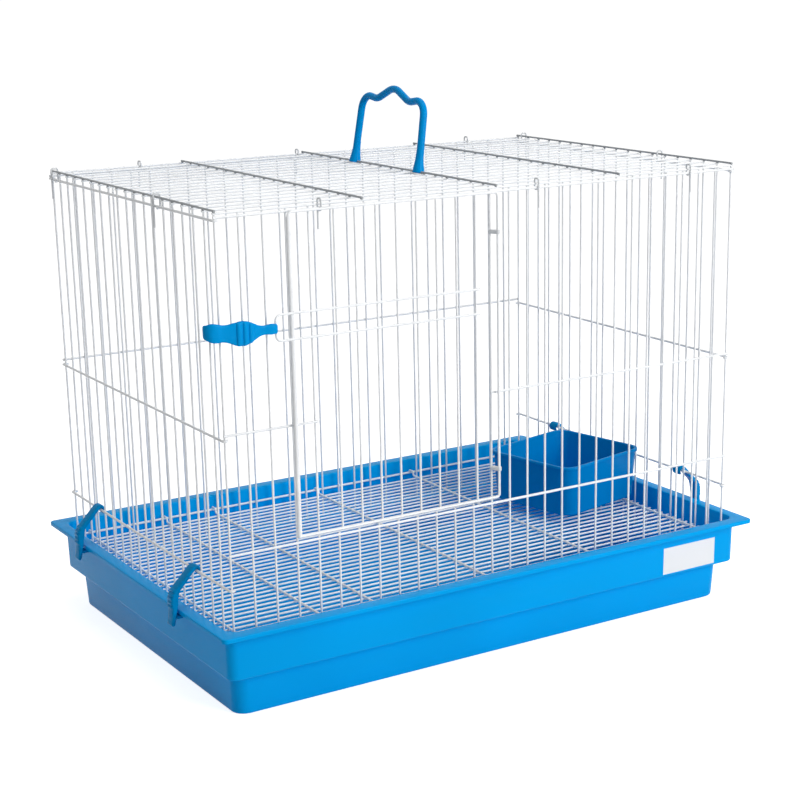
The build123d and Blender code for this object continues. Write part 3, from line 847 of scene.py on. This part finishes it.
def strip(stations, wide, around=20):
    # Each end is rounded by two rings: their share of the full size and their push outward
    end_rings = [(0.85, 0.3), (0.55, 0.55)]
    centres = [station[0] for station in stations]
    rings = []
    last = len(stations) - 1
    for i, (centre, half_thick, half_wide) in enumerate(stations):
        along = (centres[min(i + 1, last)] - centres[max(i - 1, 0)]).normalized()
        across = along.cross(wide)
        scales = [(1.0, 0.0)]
        if i == 0:
            scales = [(scale, -push) for scale, push in reversed(end_rings)] + scales
        if i == last:
            scales = scales + end_rings
        for scale, push in scales:
            ring = []
            for k in range(around):
                out, side = squarish(2 * math.pi * (k + 0.5) / around)
                place = centre + along * (push * half_thick)
                thick = half_thick * scale
                broad = half_wide - half_thick * (1 - scale)
                ring.append(place + across * (out * thick) + wide * (side * broad))
            rings.append(ring)
    return ring_mesh("strip", rings)


def rounded_block(low, high, radius):
    shape = bmesh.new()
    middle = (low + high) / 2
    stretch = Matrix.Diagonal((*(high - low), 1.0))
    bmesh.ops.create_cube(shape, size=1.0, matrix=Matrix.Translation(middle) @ stretch)
    bmesh.ops.bevel(shape, geom=shape.edges[:], offset=radius, segments=3, profile=0.5, affect="EDGES")
    mesh = bpy.data.meshes.new("block")
    shape.to_mesh(mesh)
    shape.free()
    return mesh


def outward(meshes):
    for mesh in meshes:
        shape = bmesh.new()
        shape.from_mesh(mesh)
        bmesh.ops.recalc_face_normals(shape, faces=shape.faces)
        shape.to_mesh(mesh)
        shape.free()
    return meshes


def ridge(place, first, pitch, count, height):
    share = (place - first) / pitch
    if share < -0.5 or share > count - 0.5:
        return 0.0
    return height * max(0.0, math.cos(2 * math.pi * share))


# Seen from above, from the hinge end to the curl round the corner bar: across, depth, half the
# thickness and half the height
latch_outline = [
    (0.0478, -0.00914, 0.0025, 0.0042),
    (0.0430, -0.00914, 0.0027, 0.0045),
    (0.0375, -0.0092, 0.0021, 0.0039),
    (0.0320, -0.0095, 0.0020, 0.0048),
    (0.0265, -0.0102, 0.0021, 0.0074),
    (0.0205, -0.0109, 0.0024, 0.0098),
    (0.0145, -0.0112, 0.0026, 0.0105),
    (0.0090, -0.0108, 0.0023, 0.0096),
    (0.0030, -0.0100, 0.0020, 0.0078),
    (-0.0020, -0.0096, 0.0019, 0.0073),
    (-0.0070, -0.0095, 0.0021, 0.0080),
    (-0.0110, -0.0086, 0.0022, 0.0080),
    (-0.0138, -0.0062, 0.0021, 0.0068),
    (-0.0146, -0.0030, 0.0019, 0.0056),
    (-0.0125, 0.0002, 0.0017, 0.0054),
    (-0.0085, 0.0009, 0.0014, 0.0052),
]
# Ribs across the thumb's place: the first one's place, their pitch, their number and their height
latch_ribs = (0.0118, 0.0056, 3, 0.0013)
arm_rises_from, arm_slope = 0.010, 0.13
seat_half_length, seat_half_height, seat_rounding = 0.0042, 0.0052, 0.0008
seat_front, seat_back = -0.0088, 0.0018
latch_height = sum(corner[2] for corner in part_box("door_loop")) / 2 - rim_top
latch_stations = []
for x, y, thick, high in through(latch_outline, steps=9):
    rise = ridge(x, *latch_ribs)
    lift = max(0.0, arm_rises_from - x) * arm_slope
    latch_stations.append((in_cage(x, y - rise / 2, latch_height + lift), thick + rise / 2, high))
latch_seat = rounded_block(
    in_cage(-seat_half_length, seat_front, latch_height - seat_half_height),
    in_cage(seat_half_length, seat_back, latch_height + seat_half_height),
    seat_rounding,
)
latch_parts = outward([strip(latch_stations, Vector((0, 0, 1))), latch_seat])
latch = joined("door_snap_latch", latch_parts, latch_blue, sharp=50.0)
given_to(latch, "latch", "latch_plastic", "door_latch")

clip_blue = moulded("clip_blue", (0.0, 0.27, 0.62), depth=0.06, gloss=0.22, grain=1100.0)
# Seen from the front, from the hook inside the rail, over it and out and down to the finger tab: outward,
# height above the rail, and half the thickness
clip_outline = [
    (-0.0026, -0.0034, 0.0012),
    (-0.0034, 0.0001, 0.0014),
    (-0.0012, 0.0032, 0.0015),
    (0.0022, 0.0026, 0.0018),
    (0.0062, -0.0012, 0.0019),
    (0.0120, -0.0074, 0.0020),
    (0.0176, -0.0130, 0.0022),
    (0.0206, -0.0172, 0.0028),
    (0.0221, -0.0222, 0.0033),
    (0.0228, -0.0280, 0.0031),
    (0.0232, -0.0330, 0.0024),
    (0.0240, -0.0380, 0.0021),
    (0.0248, -0.0432, 0.0019),
    (0.0258, -0.0470, 0.0016),
]
clip_tooth = [(0.0215, -0.0404, 0.0014), (0.0175, -0.0402, 0.0014), (0.0136, -0.0398, 0.0010)]
clip_half_width = 0.0058
clip_ribs = (0.0165, 0.0034, 5, 0.0011)
for clip_name, side, gap in (
    ("clip_front_left", -1, 3),
    ("clip_rear_left", -1, 14),
    ("clip_front_right", 1, 3),
    ("clip_rear_right", 1, 14),
):
    rail_x = -rail_offset if side < 0 else cage_length + rail_offset
    rail_y = (gap + 0.5) * side_step
    parts = []
    for outline in (clip_outline, clip_tooth):
        stations = []
        for out, height, thick in through(outline, steps=7):
            rise = ridge(-height, *clip_ribs) if outline is clip_outline else 0.0
            place = in_cage(rail_x + side * (out + rise / 2), rail_y, side_low_rail + height)
            stations.append((place, thick + rise / 2, clip_half_width))
        parts.append(strip(stations, Vector((0, 1, 0))))
    clip = joined(clip_name + "_moulding", outward(parts), clip_blue, sharp=50.0)
    given_to(clip, clip_name, "clip_plastic", clip_name)

# Carrying handle
# A round plastic grip moulded in one piece with two flared feet. Each foot is slotted over the top panel's
# middle cross wire and closed from below by a small white disc.
handle_blue = moulded("handle_blue", (0.0, 0.28, 0.69), depth=0.06, gloss=0.18, grain=900.0)
disc_white = moulded("disc_white", (0.82, 0.84, 0.86), depth=0.02, gloss=0.22)
handle_radius = 0.0036
handle_tilt, foot_splay = math.radians(9.0), math.radians(3.0)
rear_foot_gaps, handle_gaps = 12.5, 6
handle_rear = rear_foot_gaps * side_step
handle_front = handle_rear - handle_gaps * side_step
handle_middle = (handle_rear + handle_front) / 2
half_span = (handle_rear - handle_front) / 2
# From a foot to the crown: distance from the middle, height above the cross wire and radius of the bend
handle_half = [
    (half_span, 0.012, 0.0),
    (half_span - 0.003, 0.068, 0.014),
    (0.030, 0.064, 0.020),
]
handle_crown = (0.0, 0.077, 0.024)
handle_points = [(-offset, height, bend) for offset, height, bend in handle_half]
handle_points += [handle_crown, *reversed(handle_half)]
on_cross_wire = Matrix.Translation(in_cage(cage_length / 2, 0, cross_height))
handle_place = on_cross_wire @ Matrix.Rotation(handle_tilt, 4, "Y")
handle_path = []
for offset, height, _ in handle_points:
    handle_path.append(handle_place @ Vector((0, handle_middle + offset, height)))
handle_bends = [bend for _, _, bend in handle_points]
handle_meshes = [bent([(handle_path, handle_bends)], handle_radius, handle_blue, sides=28, steps=10)]


def turned(profile, segments, place):
    rings = []
    for radius, height in profile:
        ring = []
        for i in range(segments):
            angle = 2 * math.pi * i / segments
            ring.append(place @ Vector((radius * math.cos(angle), radius * math.sin(angle), height)))
        rings.append(ring)
    return ring_mesh("turned", rings)


# Radius and height above the cross wire
foot_profile = [
    (0.0050, -0.0013),
    (0.0057, -0.0010),
    (0.0058, -0.0003),
    (0.0056, 0.0022),
    (0.0050, 0.0052),
    (0.0044, 0.0090),
    (0.0039, 0.0130),
    (0.00365, 0.0170),
    (0.0036, 0.0200),
]
disc_profile = [
    (0.0068, -0.0031),
    (0.0074, -0.0029),
    (0.0076, -0.0022),
    (0.0074, -0.0015),
    (0.0068, -0.0013),
]
disc_meshes = []
for y, tip in ((handle_front, 1), (handle_rear, -1)):
    foot_place = handle_place @ Matrix.Translation((0, y, 0))
    splayed = foot_place @ Matrix.Rotation(-tip * foot_splay, 4, "X")
    handle_meshes.append(turned(foot_profile, 28, splayed))
    disc_meshes.append(turned(disc_profile, 32, foot_place))
handle = joined("carrying_grip", handle_meshes, handle_blue)
given_to(handle, "handle", "handle_plastic", "carrying_handle")
discs = joined("foot_discs", disc_meshes, disc_white)
given_to(discs, "handle", "retainer_plastic", "handle_retainers")

# Feeder
# A small open trough moulded in the same plastic. It is hung inside on the right by a strap over the low
# side rail, and sits a little turned.
feeder_blue = moulded("feeder_blue", (0.0, 0.24, 0.62), depth=0.06, gloss=0.2, grain=900.0)
feeder_half_length, feeder_half_width = 0.061, 0.0592
feeder_low, feeder_high = -0.0075, 0.047
feeder_wall, feeder_rim = 0.002, 0.0035
feeder_x, feeder_y = 0.4832, 0.1722
feeder_turn = math.radians(12.6)
# The same four measures as in the tray's wall section
feeder_section = [
    (0.016, feeder_low, 0.0, 0.006),
    (0.0050, feeder_low, 0.003, 0.012),
    (0.0018, feeder_high - feeder_rim, 0.0006, 0.014),
    (0.0, feeder_high - feeder_rim, 0.0006, 0.015),
    (0.0, feeder_high, 0.0012, 0.015),
    (0.0034, feeder_high, 0.0012, 0.0125),
    (0.0070, feeder_low + feeder_wall, 0.004, 0.010),
    (0.018, feeder_low + feeder_wall, 0.0, 0.005),
]
feeder_middle = Matrix.Translation(in_cage(feeder_x, feeder_y, 0.0))
feeder_place = feeder_middle @ Matrix.Rotation(feeder_turn, 4, "Z")
feeder_rings = []
for inset, height, radius in rounded_section(feeder_section):
    ring = rounded_ring(feeder_half_length - inset, feeder_half_width - inset, radius, height, steps=8)
    feeder_rings.append([feeder_place @ point for point in ring])
hanger_gaps = 7.5
hanger_y = hanger_gaps * side_step
hanger_half, hanger_thickness, hanger_rounding = 0.0045, 0.002, 0.0005
hanger_clearance, hanger_drop = 0.0003, 0.008
hanger_reach, hanger_lip, hanger_front = 0.0105, 0.0015, 0.0034
hanger_x = cage_length + rail_offset
hanger_foot = side_low_rail + rail_radius + hanger_clearance
hanger_corner = in_cage(hanger_x + hanger_front, hanger_y + hanger_half, hanger_foot + hanger_thickness)
hanger_arm = rounded_block(
    in_cage(cage_length - hanger_reach, hanger_y - hanger_half, hanger_foot),
    hanger_corner,
    hanger_rounding,
)
hanger_hook = rounded_block(
    in_cage(hanger_x + hanger_lip, hanger_y - hanger_half, hanger_foot - hanger_drop),
    hanger_corner,
    hanger_rounding,
)
feeder_parts = [mended(ring_mesh("trough", feeder_rings)), *outward([hanger_arm, hanger_hook])]
feeder = joined("feeding_trough", feeder_parts, feeder_blue, sharp=50.0)
given_to(feeder, "feeder", "feeder_plastic", "feeder")

# Studio
# A large pale floor and an even white surround. One soft key stands at the front right, a soft light hangs
# above, and a weak fill stands at the left.


def in_sight(nodes, links):
    kind = nodes.new("ShaderNodeLightPath")
    found = kind.outputs["Is Camera Ray"]
    for other in ("Is Glossy Ray", "Is Transmission Ray"):
        either = nodes.new("ShaderNodeMath")
        either.operation = "MAXIMUM"
        links.new(found, either.inputs[0])
        links.new(kind.outputs[other], either.inputs[1])
        found = either.outputs[0]
    return found


floor_mesh = bpy.data.meshes.new("studio_floor")
floor_reach = 60.0
floor_mesh.from_pydata(
    [
        (-floor_reach, -floor_reach, 0.0),
        (floor_reach, -floor_reach, 0.0),
        (floor_reach, floor_reach, 0.0),
        (-floor_reach, floor_reach, 0.0),
    ],
    [],
    [(0, 1, 2, 3)],
)
floor = bpy.data.objects.new("studio_floor", floor_mesh)
bpy.context.scene.collection.objects.link(floor)
floor_paint = bpy.data.materials.new("studio_white")
floor_paint.use_nodes = True
paint_nodes, paint_links = floor_paint.node_tree.nodes, floor_paint.node_tree.links
paint_nodes.clear()
diffuse = paint_nodes.new("ShaderNodeBsdfDiffuse")
diffuse.inputs["Color"].default_value = (0.82, 0.82, 0.82, 1.0)
glow = paint_nodes.new("ShaderNodeEmission")
glow.inputs["Strength"].default_value = 0.8
dark = paint_nodes.new("ShaderNodeEmission")
dark.inputs["Strength"].default_value = 0.0
pick = paint_nodes.new("ShaderNodeMixShader")
paint_links.new(in_sight(paint_nodes, paint_links), pick.inputs["Fac"])
paint_links.new(dark.outputs["Emission"], pick.inputs[1])
paint_links.new(glow.outputs["Emission"], pick.inputs[2])
both = paint_nodes.new("ShaderNodeAddShader")
paint_links.new(diffuse.outputs["BSDF"], both.inputs[0])
paint_links.new(pick.outputs["Shader"], both.inputs[1])
paint_out = paint_nodes.new("ShaderNodeOutputMaterial")
paint_links.new(both.outputs["Shader"], paint_out.inputs["Surface"])
floor_mesh.materials.append(floor_paint)

world = bpy.data.worlds.new("surround")
bpy.context.scene.world = world
world.use_nodes = True
world_nodes, world_links = world.node_tree.nodes, world.node_tree.links
background = world_nodes["Background"]
background.inputs["Color"].default_value = (1.0, 1.0, 1.0, 1.0)
level = world_nodes.new("ShaderNodeMapRange")
level.inputs["To Min"].default_value = 0.3
level.inputs["To Max"].default_value = 1.0
world_links.new(in_sight(world_nodes, world_links), level.inputs["Value"])
world_links.new(level.outputs["Result"], background.inputs["Strength"])


def soft_light(name, place, aim, size, watts):
    light = bpy.data.lights.new(name, "AREA")
    light.shape = "SQUARE"
    light.size = size
    light.energy = watts
    lamp = bpy.data.objects.new(name, light)
    lamp.location = place
    lamp.rotation_euler = (Vector(aim) - Vector(place)).to_track_quat("-Z", "Y").to_euler()
    bpy.context.scene.collection.objects.link(lamp)


soft_light("key", (0.8, -2.1, 1.0), (0.0, 0.0, 0.15), size=1.1, watts=31.0)
soft_light("top", (0.1, -0.2, 2.3), (0.0, 0.0, 0.2), size=1.4, watts=14.0)
soft_light("fill", (-1.9, -0.7, 1.2), (0.0, 0.0, 0.2), size=1.4, watts=0.6)

camera_place = (-0.9066, -1.5234, 0.6478)
azimuth, elevation, roll = math.radians(32.92), math.radians(15.54), math.radians(-0.68)
forward_x = math.sin(azimuth) * math.cos(elevation)
forward_y = math.cos(azimuth) * math.cos(elevation)
forward = Vector((forward_x, forward_y, -math.sin(elevation)))
level_right = Vector((math.cos(azimuth), -math.sin(azimuth), 0.0))
level_up = level_right.cross(forward)
right = level_right * math.cos(roll) + level_up * math.sin(roll)
up = level_up * math.cos(roll) - level_right * math.sin(roll)
lens = bpy.data.cameras.new("photo_camera")
lens.sensor_width = 36.0
lens.lens = 80.7
lens.shift_x = -0.0783
lens.shift_y = 0.0686
camera = bpy.data.objects.new("photo_camera", lens)
axes = [(right[i], up[i], -forward[i], camera_place[i]) for i in range(3)]
camera.matrix_world = Matrix([*axes, (0.0, 0.0, 0.0, 1.0)])
bpy.context.scene.collection.objects.link(camera)
bpy.context.scene.camera = camera
bpy.context.scene.view_settings.view_transform = "Standard"
